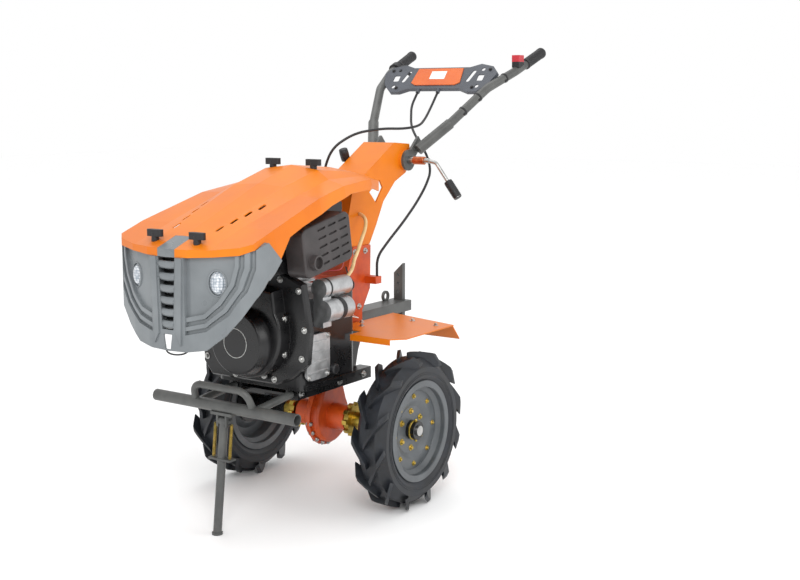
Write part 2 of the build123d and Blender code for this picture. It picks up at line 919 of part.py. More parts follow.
mask_front = [
    (0, 545), (60, 546), (118, 555), (168, 594), (207, 638), (238, 695), (252, 760), (252, 860),
]
mask_side = [
    (-690, 782), (-620, 800), (-556, 829), (-505, 779), (-548, 734), (-590, 690), (-620, 634), (-640, 552),
    (-690, 538),
]
pillar_width = 22
cheek_depth = 13
cheek_bands = [  # nested outlines, each with its depth: groove, ridge, groove, ridge, floor
    ([(57, 590), (118, 604), (178, 648), (220, 708), (236, 765), (238, 870), (58, 870)], 9),
    ([(57, 600), (116, 614), (170, 656), (209, 712), (224, 767), (226, 870), (58, 870)], 2),
    ([(57, 611), (114, 625), (163, 664), (200, 717), (214, 769), (216, 870), (58, 870)], 11),
    ([(57, 623), (112, 636), (155, 673), (189, 723), (202, 771), (204, 870), (58, 870)], 4),
    ([(57, 635), (110, 648), (148, 682), (180, 729), (192, 773), (194, 870), (58, 870)], 13),
]
lamp_tilt = 0.35
lamp_out = math.sqrt(1 - lamp_tilt**2)


def cheek_slab(outlines):
    """Both cheeks' slabs through the mask's front, the first outline less the second."""
    with BuildPart() as slab:
        with BuildSketch(cross_plane(-400)) as both:
            Polygon(*outlines[0], align=None)
            if len(outlines) > 1:
                Polygon(*outlines[1], align=None, mode=Mode.SUBTRACT)
            mirror(about=Plane.YZ)
        extrude(amount=290)
    return slab.part


with BuildPart() as cheek_grooves:
    for index, (outline, depth) in enumerate(cheek_bands):
        inner = [band[0] for band in cheek_bands[index + 1 : index + 2]]
        add(cheek_slab([outline, *inner]) - plan_prism(depth, 500, 880))

cheek_back = [
    (x - mask_wall if x < 60 else x + mask_wall, z - mask_wall) for x, z in cheek_bands[0][0]
]
cheek_backing = cheek_slab([cheek_back]) - plan_prism(mask_wall + cheek_depth, 500, 880)

with BuildPart() as mask_form:
    add(plan_prism(0, 500, 860))
    with BuildSketch(cross_plane(0)):
        Polygon(*both_sides(mask_front), align=None)
    extrude(amount=700, mode=Mode.INTERSECT)
    add(side_slab(mask_side, -270, 270), mode=Mode.INTERSECT)

with BuildPart() as hood_mask:
    add(mask_form.part)
    add(cheek_grooves.part, mode=Mode.SUBTRACT)
    add(plan_prism(mask_wall, 500, 860) - cheek_backing, mode=Mode.SUBTRACT)
    with BuildSketch(cross_plane(-640)):
        Polygon(
            (grille_half, 590),
            (grille_half + 4, 800),
            (grille_half + 4 + pillar_width, 800),
            (grille_half - 6 + pillar_width, 562),
            align=None,
        )
        mirror(about=Plane.YZ)
    extrude(amount=29)
    add(side_slab(mask_side, -270, 270), mode=Mode.INTERSECT)
    with BuildSketch(cross_plane(-600)):
        Polygon(
            (-grille_half + 10, 600), (grille_half - 10, 600), (grille_half, 792), (-grille_half, 792),
            align=None,
        )
    extrude(amount=100, mode=Mode.SUBTRACT)
    fin_pitch = 186 / fin_count
    for index in range(fin_count):
        with BuildSketch(side_plane(-grille_half)):
            Polygon(
                (-664, 606 + index * fin_pitch),
                (-642, 616 + index * fin_pitch),
                (-642, 621 + index * fin_pitch),
                (-664, 622 + index * fin_pitch),
                align=None,
            )
        extrude(amount=2 * grille_half)
    for side in (1, -1):
        recess = Plane(
            origin=row_point(side * lamp_x, lamp_y, lamp_z),
            x_dir=(lamp_out, side * lamp_tilt, 0),
            z_dir=(side * lamp_tilt, -lamp_out, 0),
        )
        with BuildSketch(recess.offset(-8)):
            Ellipse(lamp_w / 2 + 4, lamp_h / 2 + 4)
        extrude(amount=14)
        with BuildSketch(recess.offset(-30)):
            Ellipse(lamp_w / 2, lamp_h / 2)
        extrude(amount=60, mode=Mode.SUBTRACT)
    with BuildSketch(cross_plane(-630)):
        Polygon((-9, 549), (9, 549), (15, 588), (-15, 588), align=None)
    extrude(amount=60, mode=Mode.SUBTRACT)
    with BuildSketch(level_plane(600)):
        with Locations((0, (tongue_y - 700) / 2)):
            Rectangle(2 * tongue_half - 0.6, 700 + tongue_y - 0.6)
    tongue = extrude(amount=500, mode=Mode.PRIVATE)
    add(tongue & hood_shell.part)
finish(hood_mask, "hood_mask")

lamp_plane = Plane(
    origin=row_point(lamp_x, lamp_y, lamp_z),
    x_dir=(lamp_out, lamp_tilt, 0),
    z_dir=(lamp_tilt, -lamp_out, 0),
)
lamp_axis = Axis(lamp_plane.origin, lamp_plane.z_dir)
with BuildPart() as headlamp_left:
    with BuildSketch(lamp_plane.offset(-22)):
        Ellipse(lamp_w / 2 - 0.3, lamp_h / 2 - 0.3)
    extrude(amount=26)
    chamfer(headlamp_left.edges().sort_by(lamp_axis)[-1], 4)
finish(headlamp_left, "headlamp_left")
finish_mirrored(headlamp_left, "headlamp_right")

# Four T-knobs clamp the hood down.
with BuildPart() as hood_knobs:
    for x, y, z in (
        (74, -627, 819), (-74, -627, 819), (74, -147, 985), (-74, -147, 985),
    ):
        with BuildSketch(level_plane(z)):
            with Locations((x, y)):
                Circle(10)
        extrude(amount=24)
        with BuildSketch(level_plane(z + 14)):
            with Locations((x, y)):
                SlotOverall(52, 18)
        extrude(amount=18)
    add(hood_loft(0), mode=Mode.SUBTRACT)
finish(hood_knobs, "hood_knobs")

# Fenders: folded sheet over each wheel with a lip in front and a flap behind.
rear_inner_y = 262
with BuildPart() as fender_left:
    with BuildSketch(level_plane(fender_z)):
        Polygon(
            (fender_inner_x, crank_y1 + 18),
            (crank_x1 + 10, crank_y1 + 18),
            (crank_x1 + 10, fender_front_y),
            (fender_outer_x - 34, fender_front_y),
            (fender_outer_x, fender_front_y + 36),
            (fender_outer_x, fender_rear_y),
            (fender_inner_x, rear_inner_y),
            align=None,
        )
    extrude(amount=fender_sheet)
    with BuildSketch(cross_plane(fender_front_y + fender_sheet)):
        with Locations(((crank_x1 + 10 + fender_outer_x - 34) / 2, fender_z - 6)):
            Rectangle(fender_outer_x - 44 - crank_x1, 18)
    extrude(amount=fender_sheet)
    with BuildSketch(side_plane(fender_outer_x - 150)):
        Polygon(
            (fender_rear_y - 6, fender_z + fender_sheet),
            (fender_rear_y + 34, fender_z - 42),
            (fender_rear_y + 34, fender_z - 46),
            (fender_rear_y - 8, fender_z),
            align=None,
        )
    extrude(amount=150)
finish(fender_left, "fender_left")
finish_mirrored(fender_left, "fender_right")

with BuildPart() as fender_brackets:
    for side in (1, -1):
        with BuildSketch(side_plane(side * (gearbox_half + 3.3) - 3)):
            Polygon(
                (-44, fender_z), (96, fender_z), (60, 380), (-12, 380), align=None
            )
        extrude(amount=6)
        with BuildSketch(level_plane(fender_z - 5)):
            with Locations((side * (gearbox_half + 40), 30)):
                Rectangle(70, 90)
        extrude(amount=5)
finish(fender_brackets, "fender_brackets")

# Gear lever through the hood's rear end.
with BuildPart() as gear_lever:
    with BuildSketch(side_plane(-gearbox_half - 18)):
        with Locations((110, 700)):
            Circle(16)
    extrude(amount=18)
    add(bent_bar([(-75, 110, 700), (-75, 228, 955), (-75, 211, 997)], 6, 30))
    add(bent_bar([(-75, 211, 997), (-75, 196, 1031)], 13))
finish(gear_lever, "gear_lever")

# Hitch: a clevis behind the gearbox holds the upright drag bar on one pin.
with BuildPart() as hitch:
    with BuildSketch(level_plane(498)):
        with Locations((0, (gearbox_rear + 420) / 2)):
            Rectangle(70, 420 - gearbox_rear)
    extrude(amount=34)
    with BuildSketch(level_plane(498)):
        with Locations((0, drag_y)):
            Rectangle(drag_width + 0.6, drag_thick + 0.6)
    extrude(amount=34, mode=Mode.SUBTRACT)
    with BuildSketch(side_plane(tow_eye_x - 4)):
        with Locations((drag_y - 44, 498 + 34 + tow_eye_r - 3)):
            Circle(tow_eye_r)
            Circle(tow_eye_r - 7, mode=Mode.SUBTRACT)
    extrude(amount=8)
finish(hitch, "hitch")

with BuildPart() as drag_bar:
    with BuildSketch(cross_plane(drag_y + drag_thick / 2)):
        Polygon(
            (-drag_width / 2, 430), (drag_width / 2, 430), (drag_width / 2, 655),
            (-drag_width / 2, 622), align=None,
        )
    extrude(amount=drag_thick)
    with BuildSketch(cross_plane(drag_y + drag_thick / 2)):
        with Locations(*[(0, 560 + 28 * step) for step in range(3)]):
            Circle(5)
    extrude(amount=drag_thick, mode=Mode.SUBTRACT)
finish(drag_bar, "drag_bar")

# Hand controls.
with BuildPart() as stop_switch:
    with BuildSketch(level_plane(1290)):
        with Locations((251, 734)):
            Rectangle(26, 34)
    extrude(amount=38)
    tube_seat = bent_bar(tube_points, tube_r + 0.3, 90)
    add(tube_seat, mode=Mode.SUBTRACT)
finish(stop_switch, "stop_switch")

# Throttle: a clamp ring before the right grip with a short thumb lever.
ring_plane = grip_plane.offset(-34)
with BuildPart() as throttle_ring:
    with BuildSketch(ring_plane):
        Circle(tube_r + 8)
        Circle(tube_r + 0.3, mode=Mode.SUBTRACT)
    extrude(amount=24)
    with BuildSketch(ring_plane.offset(5)):
        with Locations((0, -tube_r - 12)):
            RectangleRounded(20, 22, 4)
        Circle(tube_r + 4, mode=Mode.SUBTRACT)
    extrude(amount=14)
    with BuildSketch(ring_plane.offset(9)):
        with Locations((-14, -tube_r - 28)):
            SlotOverall(44, 12, rotation=50)
    extrude(amount=5)
finish_mirrored(throttle_ring, "throttle_lever")

with BuildPart() as springs:
    for side in (1, -1):
        add(
            bent_bar(
                [
                    (side * spring_spacing / 2, stand_pin_y - 3, stand_pin_z - 6),
                    (side * spring_spacing / 2, stand_pin_y - 14, stand_pin_z - 99.2),
                ],
                spring_r,
            )
        )
finish(springs, "stand_springs")

# Stays under the hood: posts below the four knobs, the front pair on a bar.
with BuildPart() as hood_stays:
    for side in (1, -1):
        add(bent_bar([(side * 74, -147, 895), (side * 74, -147, 1000)], 7))
        add(bent_bar([(side * 74, -627, 760), (side * 74, -627, 830)], 7))
        add(bent_bar([(side * 74, -632, 765), (side * 74, -410, 765)], 7))
    add(bent_bar([(-80, -627, 765), (80, -627, 765)], 7))
    add(hood_loft(hood_wall + 0.3), mode=Mode.INTERSECT)
    add(fuel_tank.part, mode=Mode.SUBTRACT)
finish(hood_stays, "hood_stays")

# Control cables, from the console's glands down to the stops on the gearbox.
cable_r = 4
clutch_route = [
    (-20, 500, 1100), (32, 456, 1060), (84, 438, 1008), (120, 404, 958), (136, 346, 912),
    (142, 280, 862), (136, 215, 808), (118, 164, 756), (cable_stop_x, cable_stop_y, 708),
    (cable_stop_x, cable_stop_y, cable_stop_z),
]
shift_route = [
    (42, 494, 1126), (68, 418, 1102), (64, 336, 1094), (34, 250, 1096), (-14, 172, 1082),
    (-62, 122, 1038), (-88, 112, 968), (-94, 122, 894), (-100, 128, 822), (-98, 132, 756),
    (-cable_stop_x, cable_stop_y, 702), (-cable_stop_x, cable_stop_y, cable_stop_z),
]


def control_cable(gland_x, route):
    """Cable as straight runs joined by arcs, each as large as its runs allow."""
    start = gland_plane(gland_x).offset(gland_length)
    points = [start.origin, start.origin + start.z_dir * 58]
    points += [Vector(*row_point(*point)) for point in route]
    radii = []
    for before, corner, after in zip(points, points[1:], points[2:]):
        turn = (corner - before).get_angle(after - corner)
        shorter = min((corner - before).length, (after - corner).length)
        radii.append(0.45 * shorter / math.tan(math.radians(turn / 2)))
    print("cable bends, mm:", [round(radius) for radius in radii])
    print("cable runs, mm:", [round((b - a).length) for a, b in zip(points, points[1:])])
    with BuildPart() as cable:
        with BuildLine() as run:
            FilletPolyline(*points, radius=radii)
        with BuildSketch(Plane(origin=run.line @ 0, z_dir=run.line % 0)):
            Circle(cable_r)
        sweep(path=run.line)
    length = sum(edge.length for edge in run.edges())
    print("cable length, mm:", round(length), "volume", round(cable.part.volume))
    return cable


finish(control_cable(cable_glands[0], clutch_route), "clutch_cable")
finish(control_cable(cable_glands[1], shift_route), "shift_cable")
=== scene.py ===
# %% [markdown]
# # A walking tractor
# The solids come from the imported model, so this script starts by loading them
# as a fixed frame. Everything made below is in metres, in the same frame:
# Z is up, X points to the operator's left, and the machine's nose looks along -Y.

# %% Load the frame
import math

import bpy
import bmesh
from mathutils import Matrix, Vector


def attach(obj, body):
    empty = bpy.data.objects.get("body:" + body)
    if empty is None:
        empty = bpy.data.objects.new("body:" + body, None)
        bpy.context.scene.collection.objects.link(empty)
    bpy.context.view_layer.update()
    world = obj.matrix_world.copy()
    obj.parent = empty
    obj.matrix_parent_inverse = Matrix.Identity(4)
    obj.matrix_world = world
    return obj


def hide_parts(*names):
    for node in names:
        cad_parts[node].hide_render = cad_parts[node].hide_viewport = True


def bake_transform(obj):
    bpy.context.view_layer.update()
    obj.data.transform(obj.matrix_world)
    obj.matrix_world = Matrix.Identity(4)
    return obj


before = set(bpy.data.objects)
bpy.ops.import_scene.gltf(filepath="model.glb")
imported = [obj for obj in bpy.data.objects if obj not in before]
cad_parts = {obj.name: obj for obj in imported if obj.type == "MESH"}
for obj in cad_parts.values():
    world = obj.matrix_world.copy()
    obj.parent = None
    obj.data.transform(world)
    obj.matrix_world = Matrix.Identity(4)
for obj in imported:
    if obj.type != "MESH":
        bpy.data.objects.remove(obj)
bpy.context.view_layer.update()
AXLE_Y = -0.105

# %% [markdown]
# ## The camera
# The machine is seen from its left front corner, a little above hood height.
# A plain perspective camera with no shift gives that view. Its place is set from
# the axle line, because the view was worked out from the wheels.

# %% Camera
camera_turn = math.radians(33.8)
camera_dip = math.radians(8.9)
camera_data = bpy.data.cameras.new("camera")
camera_data.lens = 53.8
camera_data.sensor_width = 36.0
camera = bpy.data.objects.new("camera", camera_data)
camera.location = (2.1733, -2.8411 + AXLE_Y, 1.1751)
camera.rotation_euler = (math.pi / 2 - camera_dip, 0.0, camera_turn)
bpy.context.scene.collection.objects.link(camera)
bpy.context.scene.camera = camera
print("camera at", tuple(round(v, 3) for v in camera.location))

# %% [markdown]
# ## Colours and nodes
# Paint makers and screens both speak sRGB, but Blender's shaders add up light,
# so every colour is written as a hex value and turned to linear in one place.
# One small function adds a shader node with its settings and its links.


# %% Colour and node helpers
def linear(hex_colour):
    """Linear RGBA of an sRGB hex colour."""
    channels = [int(hex_colour[i : i + 2], 16) / 255 for i in (1, 3, 5)]
    return [
        c / 12.92 if c <= 0.04045 else ((c + 0.055) / 1.055) ** 2.4 for c in channels
    ] + [1.0]


def add_node(tree, kind, settings=(), inputs=(), links=()):
    """A new node, from its attributes, its input values and the sources of its links."""
    node = tree.nodes.new(kind)
    for name, value in dict(settings).items():
        setattr(node, name, value)
    for name, value in dict(inputs).items():
        node.inputs[name].default_value = value
    for name, source in dict(links).items():
        tree.links.new(source, node.inputs[name])
    return node


def new_material(name, hex_colour, roughness, metallic=0.0, **sockets):
    """A material with a Principled shader, its constants set on the shader itself."""
    material = bpy.data.materials.new(name)
    material.use_nodes = True
    shader = material.node_tree.nodes["Principled BSDF"]
    shader.inputs["Base Color"].default_value = linear(hex_colour)
    shader.inputs["Roughness"].default_value = roughness
    shader.inputs["Metallic"].default_value = metallic
    for socket, value in sockets.items():
        shader.inputs[socket.replace("_", " ")].default_value = value
    return material, material.node_tree, shader


print("orange as linear:", [round(c, 3) for c in linear("#EE8A34")])

# %% [markdown]
# ### Tone and grain
# Nearly every finish here has the same two layers of fine detail: a slow change
# of tone, as from handling and dust, and a grain that catches the light. The
# sizes differ, so each finish gives them in real millimetres. Noise is the right
# source for both, because none of these surfaces repeats. The finest grains are
# smaller than a pixel and only break up the highlights. A Bevel node softens the
# edges in the light, as paint and moulding do.


# %% Tone and grain
edge_mm = 1.6


def tone_and_grain(tree, shader, dark, light, patch_mm, grain_mm, depth_mm, gloss):
    """Mottled colour and roughness from big noise, a bump from fine noise, and
    softened edges."""
    where = add_node(tree, "ShaderNodeTexCoord").outputs["Object"]
    patches = add_node(
        tree,
        "ShaderNodeTexNoise",
        {"noise_dimensions": "3D"},
        {"Scale": 1000 / patch_mm, "Detail": 4.0, "Roughness": 0.6},
        {"Vector": where},
    )
    tone = add_node(tree, "ShaderNodeValToRGB", links={"Fac": patches.outputs["Fac"]})
    tone.color_ramp.elements[0].position = 0.35
    tone.color_ramp.elements[0].color = linear(dark)
    tone.color_ramp.elements[1].position = 0.65
    tone.color_ramp.elements[1].color = linear(light)
    tree.links.new(tone.outputs["Color"], shader.inputs["Base Color"])
    rough = add_node(
        tree,
        "ShaderNodeMapRange",
        inputs={"From Min": 0.3, "From Max": 0.7, "To Min": gloss[0], "To Max": gloss[1]},
        links={"Value": patches.outputs["Fac"]},
    )
    tree.links.new(rough.outputs["Result"], shader.inputs["Roughness"])
    grain = add_node(
        tree,
        "ShaderNodeTexNoise",
        inputs={"Scale": 1000 / grain_mm, "Detail": 2.0},
        links={"Vector": where},
    )
    soft_edge = add_node(
        tree, "ShaderNodeBevel", {"samples": 4}, {"Radius": edge_mm / 1000}
    )
    bump = add_node(
        tree,
        "ShaderNodeBump",
        inputs={"Strength": 0.5, "Distance": depth_mm / 1000},
        links={"Height": grain.outputs["Fac"], "Normal": soft_edge.outputs["Normal"]},
    )
    tree.links.new(bump.outputs["Normal"], shader.inputs["Normal"])


print("edges softened by", edge_mm, "mm")

# %% [markdown]
# ### Orange powder coat on pressed steel
# The hood, neck and fenders are pressed steel, sprayed with powder and baked. The
# film flows out to a gloss with a faint orange-peel ripple about 2 mm across, and
# it bleaches a little where light falls, so the tone shifts slowly.

# %% Orange powder coat
powder_coat, tree, shader = new_material(
    "orange_powder_coated_steel", "#DC760C", 0.36, Specular_IOR_Level=0.3
)
tone_and_grain(tree, shader, "#D46D08", "#E27D10", 260, 2.2, 0.05, (0.32, 0.42))
print("made", powder_coat.name)

# %% [markdown]
# ### Orange enamel on cast iron
# The gearbox and final drive are sand castings brushed with enamel. The sand
# leaves a pebbled skin about 3 mm across under the paint, and the red-brown
# primer makes the orange deeper than on the sheet metal.

# %% Orange enamel on castings
cast_enamel, tree, shader = new_material("orange_enamelled_cast_iron", "#C44A10", 0.4)
tone_and_grain(tree, shader, "#B03C0C", "#CE5214", 60, 3.2, 0.35, (0.34, 0.5))
print("made", cast_enamel.name)

# %% [markdown]
# ### Grey moulded plastic
# The mask is injection-moulded ABS with a fine spark-eroded texture, which gives
# a soft wide highlight, and a silver-grey pigment that lifts the edges.

# %% Grey moulded ABS
mask_abs, tree, shader = new_material("silver_grey_moulded_abs", "#73787B", 0.38)
tone_and_grain(tree, shader, "#6B7073", "#7C8184", 180, 1.2, 0.04, (0.24, 0.36))
print("made", mask_abs.name)

# %% [markdown]
# ### Grey enamel on tube and bar
# Bumper, stand, handle tubes and hitch are drawn tube, sprayed with a satin grey
# enamel. Runs and dust give it slow patches, a hand's width across, and a wider
# spread of gloss than the powder coat has.

# %% Grey enamel on tube
tube_enamel, tree, shader = new_material("grey_enamelled_steel_tube", "#4E4F4E", 0.42)
tone_and_grain(tree, shader, "#454645", "#585957", 70, 1.8, 0.06, (0.36, 0.5))
print("made", tube_enamel.name)

# %% [markdown]
# ### Tyre rubber
# Farm tyres are carbon-black rubber cured in a steel mould. New rubber is nearly
# black with a bluish bloom, and the mould leaves a fine dull grain, so the light
# tone leans to blue and the roughness stays high.

# %% Tyre rubber
tyre_rubber, tree, shader = new_material("moulded_tyre_rubber", "#16181C", 0.5)
tone_and_grain(tree, shader, "#111316", "#1E2229", 45, 1.5, 0.12, (0.4, 0.55))
print("made", tyre_rubber.name)

# %% [markdown]
# ### Wheel enamel, black enamel and engine castings
# The rims are rolled steel in a satin grey. The engine's cover plates and tank are
# stamped steel in semi-gloss black, and the crankcase, the hubs and the engine bed
# wear the same paint. Heat dulls the silencer to a brownish black. The cylinder
# head, the starter and the crankcase's side cover are bare die-cast aluminium,
# rougher than polished metal, which gives a soft sparkle.

# %% Rim, black enamel and aluminium
rim_enamel, tree, shader = new_material("grey_enamelled_rim_steel", "#4F5356", 0.34)
tone_and_grain(tree, shader, "#474B4E", "#5A5E61", 90, 2.0, 0.05, (0.28, 0.4))

black_enamel, tree, shader = new_material("black_enamelled_steel", "#0E0E10", 0.3)
tone_and_grain(tree, shader, "#0A0A0B", "#151517", 80, 2.0, 0.05, (0.22, 0.36))

silencer_black, tree, shader = new_material("heat_dulled_black_steel", "#363131", 0.5)
tone_and_grain(tree, shader, "#2D2929", "#3F3A3A", 70, 1.6, 0.08, (0.4, 0.55))

cast_aluminium, tree, shader = new_material(
    "die_cast_aluminium", "#B9BABA", 0.42, metallic=0.9
)
tone_and_grain(tree, shader, "#A6A7A8", "#C4C5C6", 30, 1.2, 0.1, (0.35, 0.5))
print("made", rim_enamel.name, black_enamel.name)
print("made", silencer_black.name, cast_aluminium.name)

# %% [markdown]
# ### Plated steel
# The drive flanges, the stand's springs and the wheel bolts are zinc plated and
# passivated yellow, which shifts between gold and green in patches a centimetre
# wide. Shafts, levers and the other bolts are bright zinc. Both are full metals, so
# their colour is the colour of what they reflect.

# %% Plated steel
yellow_zinc, tree, shader = new_material(
    "yellow_passivated_zinc_plate", "#B49B4A", 0.35, metallic=1.0
)
tone_and_grain(tree, shader, "#9C8B3C", "#C9A958", 12, 1.0, 0.03, (0.28, 0.42))

bright_zinc, tree, shader = new_material(
    "bright_zinc_plate", "#B4B4B2", 0.32, metallic=1.0
)
tone_and_grain(tree, shader, "#A3A3A1", "#C2C2C0", 15, 1.0, 0.03, (0.26, 0.4))
print("made", yellow_zinc.name, bright_zinc.name)

# %% [markdown]
# ### Moulded black, console and lamp plastics
# Knobs, grips and cable sheaths are PVC with a fine leather-like texture. The
# console is blue-grey polypropylene. Its panel and the switch's rocker are smooth
# coloured ABS. The lamps are clear polycarbonate over a faceted reflector. A clear
# lens over a mirror needs many bounces of light, so one glossy material paints the
# reflector instead: cells 7 mm wide, each with a painted reflection bright in its middle,
# with a bump to match.

# %% Plastics
black_pvc, tree, shader = new_material("textured_black_pvc", "#18181A", 0.5)
tone_and_grain(tree, shader, "#131315", "#1F1F22", 40, 1.0, 0.1, (0.42, 0.58))

console_pp, tree, shader = new_material("blue_grey_polypropylene", "#474B53", 0.45)
tone_and_grain(tree, shader, "#40444B", "#50545C", 90, 1.1, 0.06, (0.4, 0.5))

panel_abs, tree, shader = new_material("orange_panel_abs", "#D4621C", 0.4)
tone_and_grain(tree, shader, "#CD5B18", "#DA6B23", 120, 1.2, 0.04, (0.35, 0.45))

switch_red, tree, shader = new_material("red_gloss_abs", "#B82330", 0.3)
tone_and_grain(tree, shader, "#AD1F2B", "#C32B38", 30, 1.0, 0.03, (0.25, 0.38))

lamp_lens, tree, shader = new_material(
    "clear_polycarbonate_lens", "#C9D0D6", 0.1, Coat_Weight=0.8, Coat_Roughness=0.03
)
facet_mm = 7
facet_depth_mm = 1.2
facets = add_node(
    tree,
    "ShaderNodeTexVoronoi",
    {"feature": "F1"},
    {"Scale": 1000 / facet_mm, "Randomness": 0.25},
    {"Vector": add_node(tree, "ShaderNodeTexCoord").outputs["Object"]},
)
# The bright middle of each cell is a painted reflection of the lamp's mirror facets.
painted_facet_reflection = add_node(tree, "ShaderNodeValToRGB", links={"Fac": facets.outputs["Distance"]})
painted_facet_reflection.color_ramp.elements[0].color = linear("#F4F6F8")
painted_facet_reflection.color_ramp.elements[1].color = linear("#7F8B96")
painted_facet_reflection.color_ramp.elements[1].position = 0.75
tree.links.new(painted_facet_reflection.outputs["Color"], shader.inputs["Base Color"])
relief = add_node(
    tree,
    "ShaderNodeBump",
    inputs={"Strength": 0.6, "Distance": facet_depth_mm / 1000},
    links={"Height": facets.outputs["Distance"]},
)
tree.links.new(relief.outputs["Normal"], shader.inputs["Normal"])
print("made", black_pvc.name, console_pp.name, panel_abs.name, lamp_lens.name)

# %% [markdown]
# ## Dressing the solids
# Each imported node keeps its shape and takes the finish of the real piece. One table
# from finish to nodes is shorter than a line for each node, and the print names any
# node that the table misses.

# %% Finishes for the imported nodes
finish_of = {
    powder_coat: ("hood", "neck", "fender_left", "fender_right"),
    cast_enamel: ("gearbox", "drive_case"),
    mask_abs: ("hood_mask",),
    tube_enamel: "bumper stand_fork stand_leg tube_left tube_right hitch drag_bar".split(),
    tyre_rubber: ("tyre_left", "tyre_right"),
    rim_enamel: ("rim_left", "rim_right"),
    black_enamel: (
        "crankcase fan_shroud recoil_starter fuel_tank air_cleaner engine_bed hub_left"
        " hub_right fender_brackets"
    ).split(),
    silencer_black: ("muffler",),
    cast_aluminium: ("cylinder_head", "starter_motor"),
    yellow_zinc: ("drive_flange_left", "drive_flange_right", "stand_springs"),
    bright_zinc: ("axle_shaft", "clamp_lever", "hood_stays", "gear_lever"),
    black_pvc: (
        "hood_knobs grip_left grip_right clutch_cable shift_cable throttle_lever"
        " stop_switch"
    ).split(),
    console_pp: ("console",),
    panel_abs: ("console_insert",),
    lamp_lens: ("headlamp_left", "headlamp_right"),
}
for material, names in finish_of.items():
    for name in names:
        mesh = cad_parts[name].data
        mesh.materials.clear()
        mesh.materials.append(material)
undressed = set(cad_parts) - {n for names in finish_of.values() for n in names}
print("finishes given; without one:", sorted(undressed))

# %% [markdown]
# ## Places and turned forms
# Places are written in millimetres: x from the middle, y back from the axle line,
# z up from the ground. Bolts, knobs and sleeves are all turned, so one function
# spins a profile of radius and height round an axis, and another closes its ends.
# A Screw modifier spins a profile too, but wants an object for each bolt.


# %% Places and turned forms
axle_height = 230


def mm(x, y, z):
    """A point of the frame, in metres, from its place in millimetres."""
    return Vector((x / 1000, y / 1000 + AXLE_Y, z / 1000))


def skin(mesh, low, high):
    """Closes the strip between two loops of vertices."""
    for k in range(len(low)):
        after = (k + 1) % len(low)
        mesh.faces.new((low[k], low[after], high[after], high[k]))


def spin(mesh, profile, sides, matrix):
    """One circle of vertices for each (radius, height) in mm, round the matrix's Z."""
    angles = [2 * math.pi * step / sides for step in range(sides)]
    rings = []
    for radius, height in profile:
        circle = [(radius * math.cos(a), radius * math.sin(a), height) for a in angles]
        rings.append([mesh.verts.new(matrix @ (Vector(spot) / 1000)) for spot in circle])
    return rings


def add_turning(mesh, profile, sides, matrix):
    """Turned solid, closed by a flat face at each end of its profile."""
    rings = spin(mesh, profile, sides, matrix)
    for low, high in zip(rings, rings[1:]):
        skin(mesh, low, high)
    mesh.faces.new(list(reversed(rings[0])))
    mesh.faces.new(rings[-1])


def aimed(place, way):
    """Matrix that stands a local Z axis on a place, pointing the way given."""
    turn = Vector(way).to_track_quat("Z", "Y").to_matrix().to_4x4()
    return Matrix.Translation(place) @ turn


print("axle line at", [round(v, 3) for v in mm(0, 0, axle_height)])

# %% [markdown]
# ## Fasteners
# Hexagon bolts hold the castings and sheet parts. One builder adds a chamfered
# head on its washer to a growing mesh, so that all the bolts of a body are one
# piece. Each place is a point on the surface with the way the head points.


# %% Bolt builder
def add_bolt(mesh, place, way, flats):
    """Washer and chamfered hexagon head, flats in mm across."""
    matrix = aimed(place, way)
    washer_r, seat = 0.95 * flats, 1.6
    washer = [(washer_r, -0.2), (washer_r, 1.2), (washer_r - 0.6, seat)]
    add_turning(mesh, washer, 24, matrix)
    corner = flats / math.sqrt(3)
    shoulder, crown = 1.5 + 0.5 * flats, seat + 0.6 * flats
    head = [(corner, seat), (corner, shoulder), (corner - 1.2, crown)]
    add_turning(mesh, head, 6, matrix)


def as_piece(mesh, name, material, body, smooth=False):
    """Turns a bmesh into an object that rides on a body of the frame."""
    data = bpy.data.meshes.new(name)
    bmesh.ops.recalc_face_normals(mesh, faces=mesh.faces)
    mesh.to_mesh(data)
    mesh.free()
    piece = bpy.data.objects.new(name, data)
    bpy.context.scene.collection.objects.link(piece)
    data.materials.append(material)
    for face in data.polygons:
        face.use_smooth = smooth
    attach(piece, body)
    return piece


print("bolt builder ready")

# %% [markdown]
# ### Engine and drive bolts
# The fan cover has bolts on its bosses and round its flange, the final drive's two
# halves are bolted round the rim of the case, and each side of the gearbox has
# six. The fenders and the engine bed have a row of their own.

# %% Chassis bolts
FORWARD, BACK, UP = (0, -1, 0), (0, 1, 0), (0, 0, 1)
LEFT, RIGHT = (1, 0, 0), (-1, 0, 0)
bolts = bmesh.new()
fan_x, fan_z, boss_ring_r, boss_y = 10, 546, 126, -354
boss_count, boss_start, boss_pitch = 5, -70, 46
for boss in range(boss_count):
    angle = math.radians(boss_start + boss_pitch * boss)
    x, z = boss_ring_r * math.cos(angle), boss_ring_r * math.sin(angle)
    add_bolt(bolts, mm(fan_x + x, boss_y, fan_z + z), FORWARD, 11)
flange_y = -344
for x, z in (
    (-166, 455), (-166, 625), (-132, 690), (-10, 697), (108, 699), (172, 672), (190, 566),
    (180, 486), (82, 417), (-60, 415),
):
    add_bolt(bolts, mm(x, flange_y, z), FORWARD, 10)

case_rim_r, case_rim_x = 86.5, 5
case_bolts, case_start, case_pitch = 9, 188, 20.5
for step in range(case_bolts):
    angle = math.radians(case_start + case_pitch * step)
    y, z = case_rim_r * math.cos(angle), axle_height + case_rim_r * math.sin(angle)
    add_bolt(bolts, mm(case_rim_x, y, z), LEFT, 8)
    add_bolt(bolts, mm(-case_rim_x, y, z), RIGHT, 8)
gearbox_x = 62
for y, z in ((-22, 520), (-14, 640), (62, 500), (86, 560), (120, 728), (66, 728)):
    add_bolt(bolts, mm(gearbox_x, y, z), LEFT, 10)
    add_bolt(bolts, mm(-gearbox_x, y, z), RIGHT, 10)

